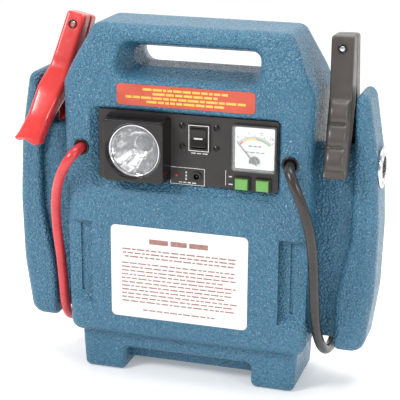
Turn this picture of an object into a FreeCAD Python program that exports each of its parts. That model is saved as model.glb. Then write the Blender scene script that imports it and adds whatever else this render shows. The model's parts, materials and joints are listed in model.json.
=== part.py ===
"""Portable 12 V jump starter pack: a two-shell plastic case with side pods, a lead-acid battery
inside, a control panel with lamp, switch, meter and charging jack, a 12 V outlet on the right
pod, and two heavy leads whose spring clamps are parked astride the webs beside the case.

Frame: millimetres, +X to the right, +Y to the back, +Z up. The origin is on the ground, under
the middle of the case. Every named piece is one STEP file in parts/.
"""
import FreeCAD, Part
import math
import os

V = FreeCAD.Vector

# ---------------------------------------------------------------- driving dimensions
WALL = 3.0                   # case wall
FRONT = -52.0                # front face of the case
BACK = 52.0                  # rear face of the case
CASE_TOP = 356.0
BODY_FLOOR = 42.0            # underside of the main body, above the plinth
POD_DEPTH = 27.0             # half depth of a side pod
WEB_DEPTH = 19.0             # half depth of the web between body and pod
WEB_BOTTOM = 55.0
WEB_TOP = 247.0
PLINTH_DEPTH = 40.0
LEAD_R = 5.0
LEAD_HOLE = (104.0, 237.0)   # x and z of the hole each lead leaves by
SOCKET_Z = 228.0
SOCKET_FACE = 180.5          # flat seat of the outlet ring on the pod's side
SOCKET_BORE = 10.5
PANEL_FRONT = -48.5
PANEL_BACK = -46.0
PANEL = (-87.0, 92.0, 207.5, 276.0)      # x low, x high, z low, z high
LAMP = (-45.5, 241.0)                    # lamp axis, x and z
LAMP_FACE = -68.0
SWITCH = (14.9, 254.8)
METER = (49.0, 90.8, 227.8, 271.5)
METER_FACE = -60.0
NEEDLE_AXIS = (69.9, 237.0)
BUTTONS = {"left": (57.6, 214.0), "right": (78.0, 214.0)}
BUTTON_HALF = (6.1, 5.2)
BUTTON_FACE = -54.0
JACK = (12.3, 216.5)
LED = (-8.0, 216.5)
BATTERY = (-90.5, 90.5, -30.0, 47.0, 49.0, 216.0)
SLOT = (-62.0, 65.0, 313.7, 333.7)       # hand hole through the case
LABEL = (-74.6, 65.2, 66.0, 161.3)
STICKER = (-66.5, 69.7, 282.5, 303.0)

EDGE = 12.0                  # rounding of the body's edges
BODY_OUTLINE = [(98, CASE_TOP, 0), (124, 300, 0), (122, BODY_FLOOR, 0),
                (-122, BODY_FLOOR, 0), (-124, 300, 0), (-98, CASE_TOP, 0)]
BODY_PROFILE = [(34, CASE_TOP, 0), (BACK, 312, 0), (BACK, BODY_FLOOR, 0),
                (FRONT, BODY_FLOOR, 0), (FRONT, 312, 0), (-34, CASE_TOP, 0)]
POD_OUTLINE = [(158.5, 302, 0), (170, 302, 10.5), (180.5, 238, 150), (184, 170, 200),
               (182.5, 105, 150), (174, 44, 14), (145, 44, 0), (146, 98, 60), (158.5, 165, 80)]
WEB_PROFILE = [(-10, WEB_TOP, 6), (10, WEB_TOP, 6), (WEB_DEPTH, 216, 30),
               (WEB_DEPTH, WEB_BOTTOM, 5), (-WEB_DEPTH, WEB_BOTTOM, 5), (-WEB_DEPTH, 216, 30)]
PLINTH_OUTLINE = [(-113, 50, 0), (-110, 0, 0), (-66, 0, 0), (-66, 25, 0),
                  (66, 25, 0), (66, 0, 0), (110, 0, 0), (113, 50, 0)]
CASE_SCREWS = [(108, 68), (108, 192), (106, 288), (86, 334)]      # x and z, on both sides
POD_SCREWS = [(163, 75), (168, 278)]

PARTS = {}


# ---------------------------------------------------------------- drawing helpers
def place(plane, a, b, off):
    """Turn two in-plane coordinates and an offset into a point."""
    if plane == "xz":
        return V(a, off, b)
    if plane == "yz":
        return V(off, a, b)
    return V(a, b, off)


def normal(plane):
    """The direction in which a plane's offset grows."""
    return {"xz": V(0, 1, 0), "yz": V(1, 0, 0), "xy": V(0, 0, 1)}[plane]


def fillet_corner(before, here, after, radius):
    """Start, middle and end of the arc that rounds the corner at here."""
    inward = (before - here).normalize()
    onward = (after - here).normalize()
    half = inward.getAngle(onward) / 2
    reach = radius / math.tan(half)
    bisector = (inward + onward).normalize()
    middle = here + bisector * (radius / math.sin(half) - radius)
    return here + inward * reach, middle, here + onward * reach


def outline(points, plane, off):
    """Closed wire through (a, b, corner radius) points."""
    corners = [place(plane, a, b, off) for a, b, _ in points]
    count = len(corners)
    edges = []
    ends = []
    for i, (_, _, radius) in enumerate(points):
        here = corners[i]
        if radius:
            first, middle, last = fillet_corner(corners[i - 1], here, corners[(i + 1) % count],
                                                radius)
            ends.append((first, last))
            edges.append(Part.Arc(first, middle, last).toShape())
        else:
            ends.append((here, here))
    for i in range(count):
        start, stop = ends[i][1], ends[(i + 1) % count][0]
        if start.distanceToPoint(stop) > 1e-6:
            edges.append(Part.LineSegment(start, stop).toShape())
    return Part.Wire(Part.__sortEdges__(edges))


def slab(points, plane, low, high, inset=0.0):
    """Extrude a rounded outline between two offsets; inset shrinks the outline."""
    face = Part.Face(outline(points, plane, low))
    if inset:
        face = face.makeOffset2D(-inset)
    return face.extrude(normal(plane) * (high - low))


def taper(points_a, off_a, points_b, off_b, plane):
    """Solid between two outlines that have the same number of corners."""
    return Part.makeLoft([outline(points_a, plane, off_a), outline(points_b, plane, off_b)],
                         True, True)


def rectangle(x0, x1, z0, z1, radius=0.0):
    """Corner points of a rectangle, for outline()."""
    return [(x0, z0, radius), (x1, z0, radius), (x1, z1, radius), (x0, z1, radius)]


def box(x0, x1, y0, y1, z0, z1):
    return Part.makeBox(x1 - x0, y1 - y0, z1 - z0, V(x0, y0, z0))


def rod(axis, centre, radius, low, high):
    """Cylinder along x or y; centre gives its two other coordinates in x, y, z order."""
    if axis == "x":
        return Part.makeCylinder(radius, high - low, V(low, centre[0], centre[1]), V(1, 0, 0))
    return Part.makeCylinder(radius, high - low, V(centre[0], low, centre[1]), V(0, 1, 0))


def tube(axis, centre, outer, inner, low, high):
    return rod(axis, centre, outer, low, high).cut(rod(axis, centre, inner, low - 1, high + 1))


def turned(profile, centre):
    """Revolve (radius, y) points about a line along y through centre = (x, z)."""
    wire = Part.makePolygon([V(centre[0] + r, y, centre[1]) for r, y in profile + profile[:1]])
    return Part.Face(wire).revolve(V(centre[0], 0, centre[1]), V(0, 1, 0), 360)


def sharp_edges(shape, least=20.0):
    """Edges whose two faces meet at more than the given angle in degrees."""
    found = []
    for edge in shape.Edges:
        faces = shape.ancestorsOfType(edge, Part.Face)
        if len(faces) != 2 or edge.Length < 0.5:
            continue
        point = middle(edge)
        normals = []
        for face in faces:
            u, v = face.Surface.parameter(point)
            normals.append(face.normalAt(u, v))
        if math.degrees(normals[0].getAngle(normals[1])) > least:
            found.append(edge)
    return found


def middle(edge):
    """Point halfway along an edge."""
    return edge.valueAt((edge.FirstParameter + edge.LastParameter) / 2)


def soften(shape, radius, keep=lambda point: True, least=20.0):
    """Round the sharp edges whose middle passes keep, with the largest radius that holds."""
    edges = [edge for edge in sharp_edges(shape, least) if keep(middle(edge))]
    for size in (radius, radius * 0.75, radius * 0.5, radius * 0.3):
        try:
            rounded = shape.makeFillet(size, edges)
        except Exception:
            continue
        if rounded.isValid() and 0.5 < rounded.Volume / shape.Volume < 1.2:
            if size != radius:
                print(f"  rounded at {size:.1f} instead of {radius:.1f} mm")
            return rounded
    print(f"  left {len(edges)} edges square, asked for {radius} mm")
    return shape


def mirrored(shape):
    """The same piece on the other side of the middle plane."""
    return shape.mirror(V(0, 0, 0), V(1, 0, 0))


def fused(shapes):
    first = shapes[0]
    return first.multiFuse(shapes[1:]).removeSplitter() if len(shapes) > 1 else first


# ---------------------------------------------------------------- case
def body_solid(inset=0.0):
    """Main body: the front outline met with the side profile, every edge rounded."""
    across = slab(BODY_OUTLINE, "xz", FRONT + inset, BACK - inset, inset)
    along = slab(BODY_PROFILE, "yz", -140, 140, inset)
    block = across.common(along).removeSplitter()
    return block.makeFillet(EDGE - inset, block.Edges)


def pod_solid(inset=0.0):
    """Right-hand pod: a wing with a full outer rounding and a bevelled inner edge."""
    pod = slab(POD_OUTLINE, "xz", -POD_DEPTH + inset, POD_DEPTH - inset, inset)
    face = POD_DEPTH - inset - 0.1
    pod = soften(pod, 10.0 - inset, lambda p: abs(p.y) > face
                 and (p.x > 164 or p.z > 298 or p.z < 48))
    return soften(pod, 7.0 - inset, lambda p: p.x < 160 and 49 < p.z < 295)


def web_solid(inset=0.0):
    """Web from the body to the right pod, narrow at the top so that a clamp sits astride it."""
    return slab(WEB_PROFILE, "yz", 112.0, 166.0 - inset, inset)


def plinth_solid(inset=0.0):
    """Foot block with an arch between its feet and a belly behind the arch."""
    low = PLINTH_DEPTH - inset
    block = slab(PLINTH_OUTLINE, "xz", -low, low, inset)
    block = soften(block, 6.0 - inset, lambda p: p.z < 47)
    belly = slab(rectangle(-76 + inset, 76 - inset, 10 + inset, 34, 6), "xz",
                 -22 + inset, 22 - inset)
    return block.fuse(belly)


def slot_solids(grow=0.0):
    """Hand hole and the flared dish on each side of it."""
    x0, x1, z0, z1 = SLOT
    hole = slab(rectangle(x0 - grow, x1 + grow, z0 - grow, z1 + grow, 8 + grow), "xz",
                FRONT - 5, BACK + 5)
    near = rectangle(x0 - grow, x1 + grow, z0 - grow, z1 + grow, 8 + grow)
    far = rectangle(x0 - 10 - grow, x1 + 10 + grow, z0 - 8 - grow, z1 + 11 + grow, 13 + grow)
    front = taper(near, -15, far, FRONT - 1, "xz")
    rear = taper(near, 15, far, BACK + 1, "xz")
    return [hole, front, rear]


def panel_recess(grow=0.0):
    """Shallow bevelled seat of the control panel."""
    x0, x1, z0, z1 = PANEL
    floor = rectangle(x0 - 0.5 - grow, x1 + 0.5 + grow, z0 - 0.5 - grow, z1 + 0.5 + grow, 3)
    mouth = rectangle(x0 - 9 - grow, x1 + 3 + grow, z0 - 11 - grow, z1 + 3 + grow, 8)
    return taper(mouth, FRONT - 0.5, floor, PANEL_BACK + grow, "xz")


def side_pocket(grow=0.0):
    """Shallow pocket beside each lead, open towards the pod, with a sloping lower edge."""
    floor = FRONT + 7 + grow
    profile = [(FRONT - 1, 72 - grow, 0), (FRONT, 74 - grow, 0), (floor, 82 - grow, 0),
               (floor, 162 + grow, 0), (FRONT - 1, 162 + grow, 0)]
    pocket = slab(profile, "yz", 95 - grow, 131)
    if not grow:
        pocket = pocket.fuse(box(105.5, 109, FRONT, floor + 1.5, 86, 158))
    return pocket


def screw_posts():
    """Posts inside the case that the long screws pull together."""
    posts = []
    for x, z in CASE_SCREWS + POD_SCREWS:
        post = rod("y", (x, z), 6.0, FRONT, BACK)
        posts += [post, mirrored(post)]
    return posts


def screw_spots():
    """x, z, head seat y and tip y of every case screw on the right side."""
    seats = [(x, z, 43.0, -20.0) for x, z in CASE_SCREWS[:3]]
    seats.append((CASE_SCREWS[3][0], CASE_SCREWS[3][1], 36.0, -18.0))
    return seats + [(x, z, 19.0, -14.0) for x, z in POD_SCREWS]


def case_holes():
    """Everything cut right through the shells."""
    x0, x1, z0, z1 = PANEL
    cuts = [box(x0 + 4, x1 - 4, FRONT, PANEL_BACK + 6, z0 + 4, z1 - 4),
            box(48, 88, PANEL_BACK - 0.5, PANEL_BACK + 6, z0 + 0.5, z0 + 6)]
    for side in (-1, 1):
        cuts.append(rod("y", (side * LEAD_HOLE[0], LEAD_HOLE[1]), 7.5, FRONT - 2, FRONT + 8))
        for x, z, seat, tip in screw_spots():
            cuts.append(rod("y", (side * x, z), 2.2, 0, seat))
            cuts.append(rod("y", (side * x, z), 1.9, tip, 0))
            cuts.append(rod("y", (side * x, z), 4.4, seat, BACK + 5))
    cuts.append(rod("x", (0, SOCKET_Z), 21.2, SOCKET_FACE, 195))
    cuts.append(rod("x", (0, SOCKET_Z), 12.0, 170, SOCKET_FACE + 1))
    return cuts


def build_case():
    """Both shells, from one hollow solid parted at y = 0."""
    pocket = side_pocket()
    body = body_solid().cut(slot_solids() + [panel_recess(), pocket, mirrored(pocket)])
    body = soften(body, 6.0, lambda p: p.z > 300 and abs(p.x) < 80 and abs(p.y) > 30, 12.0)
    body = soften(body, 3.0, lambda p: 190 < p.z < 283 and p.y < FRONT + 0.2 and abs(p.x) < 99)
    body = soften(body, 1.5, lambda p: 70 < p.z < 165 and abs(p.x) < 120 and p.y < FRONT + 0.2)
    pod, web = pod_solid(), web_solid()
    outer = fused([body, pod, mirrored(pod), web, mirrored(web), plinth_solid()])

    inner_pod = pod_solid(WALL)
    inner_web = web_solid(WALL)
    room = fused([body_solid(WALL), inner_pod, mirrored(inner_pod), inner_web,
                  mirrored(inner_web)])
    pocket = side_pocket(WALL)
    room = room.cut(slot_solids(WALL) + [panel_recess(WALL), pocket, mirrored(pocket)])
    room = room.cut(screw_posts())
    shell = outer.cut([room, plinth_solid(WALL)]).cut(case_holes())
    half = box(-250, 250, -100, 0, -10, 400)
    PARTS["front_shell"] = largest(shell.common(half))
    PARTS["rear_shell"] = largest(shell.cut(half))


def largest(shape):
    """Keep the biggest solid and say what else there was."""
    solids = sorted(shape.Solids, key=lambda s: -s.Volume)
    for extra in solids[1:]:
        print(f"  dropped a loose piece of {extra.Volume:.1f} mm3 at {extra.CenterOfMass}")
    return solids[0]


def build_case_screws():
    screws = []
    for x, z, seat, tip in screw_spots():
        head = rod("y", (x, z), 3.9, seat, seat + 2.6)
        head = head.cut(box(x - 3, x + 3, seat + 1.6, seat + 3, z - 0.5, z + 0.5))
        head = head.cut(box(x - 0.5, x + 0.5, seat + 1.6, seat + 3, z - 3, z + 3))
        screw = head.fuse(rod("y", (x, z), 1.85, tip + 1, seat))
        screws += [screw, mirrored(screw)]
    PARTS["case_screws"] = Part.Compound(screws)


# ---------------------------------------------------------------- battery and wiring
def build_battery():
    x0, x1, y0, y1, z0, z1 = BATTERY
    case = soften(box(x0, x1, y0, y1, z0, z1 - 6), 2.0)
    PARTS["battery_case"] = case
    lid = soften(box(x0 + 1, x1 - 1, y0 + 1, y1 - 1, z1 - 6, z1), 1.5, lambda p: p.z > z1 - 1)
    PARTS["battery_lid"] = lid
    tab = box(-78, -64, 32, 34, z1, z1 + 13).cut(rod("y", (-71, z1 + 8), 2.6, 30, 36))
    PARTS["battery_terminals"] = Part.Compound([tab, mirrored(tab)])
    pad = box(x1, x1 + 4, -20, 38, 60, 190)
    PARTS["battery_pads"] = Part.Compound([pad, mirrored(pad)])
    strap = box(-12, 12, y0 - 2, y1, z1, z1 + 2)
    strap = strap.fuse(box(-12, 12, y0 - 2, y0, z1 - 40, z1 + 2))
    PARTS["battery_strap"] = strap


def bend_radius(before, here, after):
    """Radius of the tangent arc at a route point: 0.45 of the shorter run over tan(turn / 2)."""
    inward = here - before
    onward = after - here
    turn = inward.getAngle(onward)
    return 0.45 * min(inward.Length, onward.Length) / math.tan(turn / 2)


def cord_path(route):
    """Straight runs joined by tangent arcs through the route's points."""
    points = [V(*p) for p in route]
    edges = []
    start = points[0]
    for i in range(1, len(points) - 1):
        radius = bend_radius(points[i - 1], points[i], points[i + 1])
        first, middle, last = fillet_corner(points[i - 1], points[i], points[i + 1], radius)
        edges.append(Part.LineSegment(start, first).toShape())
        edges.append(Part.Arc(first, middle, last).toShape())
        start = last
    edges.append(Part.LineSegment(start, points[-1]).toShape())
    return Part.Wire(edges)


def cord(name, route, radius):
    """Round cord along a route; prints its radii, length and volume ratio."""
    points = [V(*p) for p in route]
    path = cord_path(route)
    section = Part.Wire(Part.makeCircle(radius, points[0], points[1] - points[0]))
    solid = path.makePipeShell([section], True, True)
    radii = [bend_radius(points[i - 1], points[i], points[i + 1])
             for i in range(1, len(points) - 1)]
    ratio = solid.Volume / (math.pi * radius ** 2 * path.Length)
    print(f"{name}: length {path.Length:.1f} mm, radii {[round(r) for r in radii]}, "
          f"volume ratio {ratio:.4f}")
    PARTS[name] = solid


def build_inner_wiring():
    """Heavy wires from the battery to each lead, with the fuse strip on the positive side."""
    top = BATTERY[5]
    x, z = LEAD_HOLE
    route = [(x, -36, z), (x, -20, z), (100, -4, z + 1), (92, 9, z - 2), (82, 19, top + 13),
             (73, 28, top + 8)]
    cord("negative_wire", route, 3.0)
    cord("positive_wire", [(-a, b, c) for a, b, c in route], 3.0)
    block = box(x - 10, x + 10, -42, -36, z - 9, z + 9).cut(rod("y", (x, z), LEAD_R, -50, -30))
    PARTS["lead_anchors"] = Part.Compound([block, mirrored(block)])


# ---------------------------------------------------------------- control panel
def build_panel():
    x0, x1, z0, z1 = PANEL
    plate = slab(rectangle(x0, x1, z0, z1, 2.5), "xz", PANEL_FRONT, PANEL_BACK)
    for x, z in BUTTONS.values():
        half_x, half_z = BUTTON_HALF
        collar = box(x - half_x - 1.6, x + half_x + 1.6, PANEL_FRONT - 2.2, PANEL_FRONT,
                     z - half_z - 1.4, z + half_z + 1.4)
        plate = plate.fuse(collar)
    for x, z in BUTTONS.values():
        half_x, half_z = BUTTON_HALF
        plate = plate.cut(box(x - half_x - 0.4, x + half_x + 0.4, -60, -40,
                              z - half_z - 0.4, z + half_z + 0.4))
    plate = plate.cut(rod("y", LAMP, 27.5, -60, -40))
    plate = plate.cut(box(SWITCH[0] - 9, SWITCH[0] + 9, -60, -40, SWITCH[1] - 11.5,
                          SWITCH[1] + 11.5))
    plate = plate.cut(rod("y", (NEEDLE_AXIS[0], 248), 15.0, -60, -40))
    plate = plate.cut(rod("y", JACK, 4.0, -60, -40)).cut(rod("y", LED, 1.6, -60, -40))
    for x, z in panel_screw_spots():
        plate = plate.cut(rod("y", (x, z), 1.5, -60, -40))
    PARTS["control_panel"] = plate
    screws = []
    for x, z in panel_screw_spots():
        head = turned([(0, -50.2), (1.6, -50.0), (2.9, -49.2), (3.0, PANEL_FRONT),
                       (1.45, PANEL_FRONT), (1.45, -38), (0, -38)], (x, z))
        head = head.cut(box(x - 2.2, x + 2.2, -51, -49.4, z - 0.4, z + 0.4))
        head = head.cut(box(x - 0.4, x + 0.4, -51, -49.4, z - 2.2, z + 2.2))
        screws.append(head)
    PARTS["panel_screws"] = Part.Compound(screws)


def panel_screw_spots():
    """Two screws each side of the switch."""
    return [(x, z) for x in (-2.0, 31.8) for z in (245.5, 265.5)]


def build_lamp():
    x, z = LAMP
    outer = taper(rectangle(x - 32, x + 32, z - 32, z + 32, 3), PANEL_FRONT,
                  rectangle(x - 30, x + 30, z - 30, z + 30, 4), LAMP_FACE, "xz")
    outer = soften(outer, 1.5, lambda p: p.y < LAMP_FACE + 0.5)
    hollow = rod("y", LAMP, 27.2, LAMP_FACE + 4, PANEL_FRONT + 1)
    mouth = turned([(0, LAMP_FACE - 1), (28.2, LAMP_FACE - 1), (25.6, LAMP_FACE + 5),
                    (0, LAMP_FACE + 5)], LAMP)
    neck = tube("y", LAMP, 27.2, 26.0, PANEL_FRONT, -40)
    PARTS["lamp_housing"] = outer.cut([hollow, mouth]).fuse(neck)
    PARTS["lamp_ring"] = turned([(25.9, -63.9), (26.4, -63.4), (26.4, -61), (23.6, -61),
                                 (23.6, -63), (24.6, -63.9)], LAMP)
    PARTS["lamp_lens"] = turned([(0, -61.9), (12, -61.7), (23.5, -61.0), (23.5, -59.4),
                                 (0, -60.2)], LAMP)
    dish = [(6.2 + 18.6 * math.sqrt(t / 8.0), -33 - 26 * t / 8.0) for t in range(9)]
    back = [(r + 0.9, y + 0.6) for r, y in reversed(dish)]
    PARTS["lamp_reflector"] = turned(dish + back, LAMP)
    PARTS["bulb_holder"] = turned([(0, -35.0), (5.9, -35.0), (5.9, -24), (3.5, -22), (0, -22)],
                                  LAMP)
    PARTS["lamp_bulb"] = turned([(0, -50.5), (2.0, -50.0), (3.2, -48), (3.4, -43), (2.2, -39),
                                 (2.2, -35.0), (0, -35.0)], LAMP)


def build_switch():
    x, z = SWITCH
    bezel = soften(box(x - 10.5, x + 10.5, -51, PANEL_FRONT, z - 13.1, z + 13.1), 1.0,
                   lambda p: p.y < -50.5)
    bezel = bezel.fuse(box(x - 9, x + 9, PANEL_FRONT, -34, z - 11.5, z + 11.5))
    bezel = bezel.cut(box(x - 7.6, x + 7.6, -55, -36, z - 10.2, z + 10.2))
    PARTS["switch_bezel"] = bezel
    blades = [box(x - 2.4, x + 2.4, -34, -24, z + dz - 0.4, z + dz + 0.4) for dz in (-6, 6)]
    PARTS["switch_terminals"] = Part.Compound(blades)
    face = [(-47.0, z - 9.6, 1), (-53.2, z - 9.0, 1.5), (-51.6, z, 30), (-53.2, z + 9.0, 1.5),
            (-47.0, z + 9.6, 1), (-42.0, z + 4, 1), (-42.0, z - 4, 1)]
    rocker = slab(face, "yz", x - 7.3, x + 7.3)
    rocker.rotate(V(x, -45, z), V(1, 0, 0), -5)
    PARTS["light_rocker"] = rocker


def build_meter():
    x0, x1, z0, z1 = METER
    PARTS["meter_base"] = slab(rectangle(x0, x1, z0, z1, 2), "xz", -51.0, PANEL_FRONT).fuse(
        rod("y", (NEEDLE_AXIS[0], 248), 14.5, PANEL_FRONT, -44))
    outer = taper(rectangle(x0, x1, z0, z1, 2), -56.5,
                  rectangle(x0 + 2.4, x1 - 2.4, z0 + 2.4, z1 - 2.4, 1.2), METER_FACE, "xz")
    outer = outer.fuse(slab(rectangle(x0, x1, z0, z1, 2), "xz", -56.5, -51.0))
    inner = slab(rectangle(x0 + 1.5, x1 - 1.5, z0 + 1.5, z1 - 1.5, 1), "xz", -56.6, -50.0)
    inner = inner.fuse(taper(rectangle(x0 + 1.5, x1 - 1.5, z0 + 1.5, z1 - 1.5, 1), -56.6,
                             rectangle(x0 + 3.4, x1 - 3.4, z0 + 3.4, z1 - 3.4, 0.8), -58.5,
                             "xz"))
    PARTS["meter_cover"] = outer.cut(inner)
    PARTS["meter_dial"] = slab(rectangle(x0 + 2, x1 - 2, z0 + 2, z1 - 2, 1), "xz", -52.0, -51.4)
    PARTS["meter_movement"] = rod("y", (NEEDLE_AXIS[0], 248), 12.5, -44, -30)
    x, z = NEEDLE_AXIS
    arch = tube("y", NEEDLE_AXIS, 5.2, 2.6, -53.2, -52.0)
    PARTS["meter_hood"] = arch.cut(box(x - 6, x + 6, -54, -51, z - 6, z - 1.5))
    hub = rod("y", (x, z), 2.0, -55.0, -53.6)
    blade = slab([(x - 0.7, z - 4, 0), (x + 0.7, z - 4, 0), (x + 0.25, z + 25, 0),
                  (x - 0.25, z + 25, 0)], "xz", -54.6, -54.1)
    needle = hub.fuse(blade).fuse(rod("y", (x, z), 0.5, -53.6, -52.4))
    needle.rotate(V(x, 0, z), V(0, 1, 0), -42)
    PARTS["meter_needle"] = needle


def spring(radius, wire, pitch, height, base, direction):
    """Round-wire coil with its axis along direction, from base."""
    helix = Part.makeHelix(pitch, height, radius)
    section = Part.Wire(Part.makeCircle(wire / 2, V(radius, 0, 0), V(0, 1, 0)))
    coil = helix.makePipeShell([section], True, True)
    coil.Placement = FreeCAD.Placement(V(*base), FreeCAD.Rotation(V(0, 0, 1), V(*direction)))
    return coil


def build_buttons():
    springs, switches = [], []
    for name, (x, z) in BUTTONS.items():
        half_x, half_z = BUTTON_HALF
        cap = soften(box(x - half_x, x + half_x, BUTTON_FACE, -44.5, z - half_z, z + half_z),
                     0.9, lambda p: p.y < BUTTON_FACE + 0.5)
        cap = cap.fuse(box(x - half_x - 1, x + half_x + 1, -45.6, -44.5, z - half_z - 0.2,
                           z + half_z + 1))
        cap = cap.fuse(rod("y", (x, z), 1.5, -44.5, -41))
        PARTS[f"{name}_button"] = cap
        springs.append(spring(2.6, 0.5, 1.0, 4.2, (x, -44.2, z), (0, 1, 0)))
        body = box(x - 6.5, x + 6.5, -39.6, -31.5, z - 6, z + 6)
        body = body.cut(rod("y", (x, z), 2.0, -41, -36.5))
        switches.append(body)
    PARTS["button_springs"] = Part.Compound(springs)
    PARTS["button_switches"] = Part.Compound(switches)


def build_charging():
    sleeve = tube("y", JACK, 5.0, 2.75, -50.2, PANEL_FRONT).fuse(
        tube("y", JACK, 3.9, 2.75, PANEL_FRONT, -39))
    sleeve = sleeve.fuse(rod("y", JACK, 3.9, -39, -37))
    PARTS["charge_jack"] = Part.Compound([sleeve, rod("y", JACK, 1.0, -48.5, -39)])
    x, z = LED
    PARTS["charge_led"] = turned([(0, -50.3), (1.0, -49.9), (1.5, -49), (1.5, -44), (0, -44)],
                                 LED)
    board = box(-22, 42, -35.6, -34.0, 214, 236)
    chips = [box(-16, -6, -34.0, -32.2, 217, 231), box(24, 30, -34.0, -32.2, 218, 232)]
    PARTS["circuit_board"] = fused([board] + chips)


# ---------------------------------------------------------------- 12 V outlet
def build_socket():
    axis = (0, SOCKET_Z)
    low, step = 142.0, 146.0
    barrel = tube("x", axis, 11.1, SOCKET_BORE, step, SOCKET_FACE + 3.2)
    end_cup = tube("x", axis, 11.1, 8.5, low, step)
    end_wall = tube("x", axis, 11.1, 3.0, low - 1.5, low)
    PARTS["socket_barrel"] = fused([barrel, end_cup, end_wall])
    ring = tube("x", axis, 20.6, 11.2, SOCKET_FACE, SOCKET_FACE + 3.0)
    PARTS["socket_ring"] = soften(ring, 1.2, lambda p: p.x > SOCKET_FACE + 2.5)
    PARTS["socket_nut"] = tube("x", axis, 15.5, 11.2, 168.5, 173.5)
    contact = rod("x", axis, 2.8, low - 5, step - 0.3)
    PARTS["socket_contact"] = soften(contact, 1.2, lambda p: p.x > low)


# ---------------------------------------------------------------- labels
def build_labels():
    x0, x1, z0, z1 = LABEL
    PARTS["front_label"] = slab(rectangle(x0, x1, z0, z1, 5), "xz", FRONT - 0.4, FRONT)
    x0, x1, z0, z1 = STICKER
    PARTS["charge_sticker"] = slab(rectangle(x0, x1, z0, z1, 3.5), "xz", FRONT - 0.4, FRONT)


# ---------------------------------------------------------------- clamps
NOSE = 56.0                  # clamp nose above its pivot
TAIL = -72.0                 # grip end below its pivot
CLAMP_HALF = 10.8
PIN_R = 2.5
CLAMPS = {
    "red": {"pivot": V(-139.0, 3.6, 302.5), "lean": 12.8, "tilt": -10.0, "twist": -1.0,
            "spread": 34.5, "depth": 25.5, "lobes": False},
    "black": {"pivot": V(143.2, -1.0, 297.0), "lean": -1.5, "tilt": -3.0, "twist": 0.0,
              "spread": 24.0, "depth": 20.5, "lobes": True},
}       # spread is how far each grip stands open from the middle plane, depth how deep it is at the pivot


def clamp_placement(name):
    """Stand a clamp built upright at the origin into its parked place."""
    spec = CLAMPS[name]
    turn = FreeCAD.Rotation(V(0, 1, 0), spec["lean"])
    turn = turn.multiply(FreeCAD.Rotation(V(1, 0, 0), spec["tilt"]))
    turn = turn.multiply(FreeCAD.Rotation(V(0, 0, 1), spec["twist"]))
    return FreeCAD.Placement(spec["pivot"], turn)


def inner_edge(spec, z):
    """y of the front half's open edge: straight above the pivot, spread below it."""
    return -1.2 if z >= 0 else -1.2 + z * math.tan(math.radians(spec["spread"]))


def grip_outline(spec, wall=0.0):
    """Side view of the front half's sleeve; wall thins it for the hollow."""
    tail_front = inner_edge(spec, TAIL) - 12.0
    front = [(wall - spec["depth"], -2, 25), (-15.5 + wall, NOSE - wall, 3.5)]
    if spec["lobes"] and not wall:
        lower = []
        for step in range(3):
            low_z = TAIL + 6 + 23 * step
            slope = (-spec["depth"] - tail_front) / (-2 - TAIL)
            peak = tail_front + slope * (low_z + 11 - TAIL) - 3.4
            dip = tail_front + slope * (low_z + 23 - TAIL) - 0.4
            lower += [(peak, low_z + 11, 9), (dip, low_z + 23, 4)]
        front = [(tail_front, TAIL, 1.5)] + lower[:-1] + front
    else:
        front = [(tail_front + wall, TAIL - wall, 1.5)] + front
    rear = 40.0 if wall else 0.0
    return front + [(-1.2 + rear, NOSE - wall, 0), (-1.2 + rear, 0, 0),
                    (inner_edge(spec, TAIL) + rear, TAIL - wall, 0)]


def sleeve(spec):
    """Moulded channel that covers one half of a clamp, open behind and at its tail."""
    body = slab(grip_outline(spec), "yz", -CLAMP_HALF, CLAMP_HALF)
    body = soften(body, 1.8, lambda p: abs(p.x) > CLAMP_HALF - 0.1
                  and p.y < inner_edge(spec, p.z) - 3)
    hollow = slab(grip_outline(spec, 2.4), "yz", -CLAMP_HALF + 2.2, CLAMP_HALF - 2.2)
    return body.cut([hollow, rod("y", (0, NOSE - 12), 1.9, -30, 0)])


def jaw(half_width, ear_hole):
    """Pressed steel jaw: a channel inside the sleeve, teeth at the nose, ears at the pivot."""
    side = [(-13.0, NOSE - 3, 3), (-0.6, NOSE - 3, 0), (-0.6, 6, 0), (4.5, 4.5, 3),
            (4.5, -4.5, 3), (-5, -8, 3), (-13.0, -11, 3)]
    body = slab(side, "yz", -half_width, half_width)
    hollow = slab([(-11.6, 80, 0), (9, 80, 0), (9, -40, 0), (-11.6, -40, 0)], "yz",
                  -half_width + 1.2, half_width - 1.2)
    body = body.cut(hollow)
    bar = box(-half_width, half_width, -4.0, -0.6, 24, NOSE - 3)
    for step in range(8):
        z = 26.5 + 4 * step
        notch = slab([(-0.4, z - 1.5, 0), (-2.0, z, 0), (-0.4, z + 1.5, 0)], "yz", -20, 20)
        bar = bar.cut(notch)
    body = body.fuse(bar)
    return body.cut([rod("x", (0, 0), ear_hole, -20, 20), rod("y", (0, NOSE - 12), 1.9, -20, -5)])


def torsion_spring(spec):
    """Coil on the pivot pin with one leg against each grip."""
    coil = spring(4.2, 1.2, 1.7, 6.8, (-3.4, 0, 0), (1, 0, 0))
    legs = []
    for side, x in ((-1, -3.4), (1, 3.4)):
        foot = V(x, side * (0.8 - inner_edge(spec, -24)), -24)
        top = V(x, side * 3.2, 2.4)
        legs.append(Part.makeCylinder(0.6, (foot - top).Length, top, foot - top))
    return Part.Compound([coil] + legs)


def pan_screw(y_face, z):
    """Pan-head screw driven into the sleeve's nose from the front."""
    screw = turned([(0, y_face - 1.6), (2.2, y_face - 1.3), (3.2, y_face - 0.2), (3.2, y_face),
                    (1.85, y_face), (1.85, y_face + 4), (0, y_face + 4)], (0, z))
    return screw.cut(box(-3.4, 3.4, y_face - 2, y_face - 0.8, z - 0.45, z + 0.45))


def facing_back(shape):
    """Turn a front half into the rear half."""
    return shape.mirror(V(0, 0, 0), V(0, 1, 0))


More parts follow.
